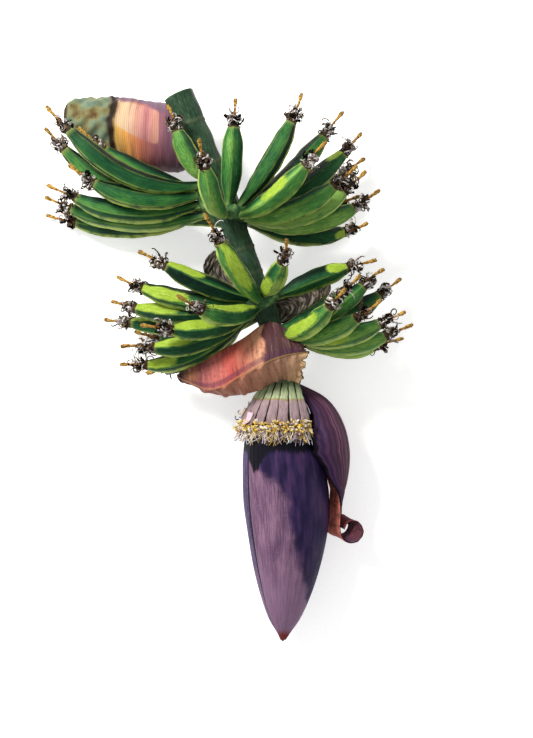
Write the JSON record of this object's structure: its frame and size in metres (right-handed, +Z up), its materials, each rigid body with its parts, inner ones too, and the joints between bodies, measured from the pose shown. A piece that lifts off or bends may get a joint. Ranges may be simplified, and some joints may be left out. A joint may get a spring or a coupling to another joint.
{
  "type": "banana blossom",
  "caption": "Banana inflorescence laid on its back: a green stalk with tiers of young fingers, lifted and dried bracts, a fringe of male flowers and a pointed purple bud.",
  "frame": {"origin": "on the surface that the blossom lies on, under the middle of its box", "axes": "+Z up from the surface, towards the side that the picture shows; +Y towards the stalk's cut end, -Y to the bud's tip; +X to the right as the picture shows it"},
  "size_m": [0.3802, 0.5575, 0.1697],
  "materials": {
    "stalk": "dark green waxy skin",
    "young_fruit": "green satin skin, lighter along its ridges",
    "withered_flower": "dry, dark and brittle, with tan styles",
    "bud": "purple with a grey waxy bloom, finely streaked lengthwise",
    "purple_bract": "ridged purple outside, red-brown inside",
    "red_bract": "crimson to orange, finely ribbed, drying at its margin",
    "pink_bract": "cream and pink inside, purple at the rim",
    "dried_bract": "shrivelled, grey-brown, ringed",
    "male_flower": "mauve-grey with pale green bases",
    "anther": "frayed, yellow and cream"
  },
  "bodies": {
    "root": {"stalk": "stalk", "bud": "bud", "bud_bract": "bud", "raised_bract": "purple_bract", "male_flowers": "male_flower", "hand_upper_left": "young_fruit", "hand_upper_right": "young_fruit", "hand_lower_left": "young_fruit", "hand_lower_right": "young_fruit", "reflexed_bract": "red_bract", "top_bract": "pink_bract", "dried_bract_right": "dried_bract", "dried_bract_left": "dried_bract"}
  },
  "joints": []
}
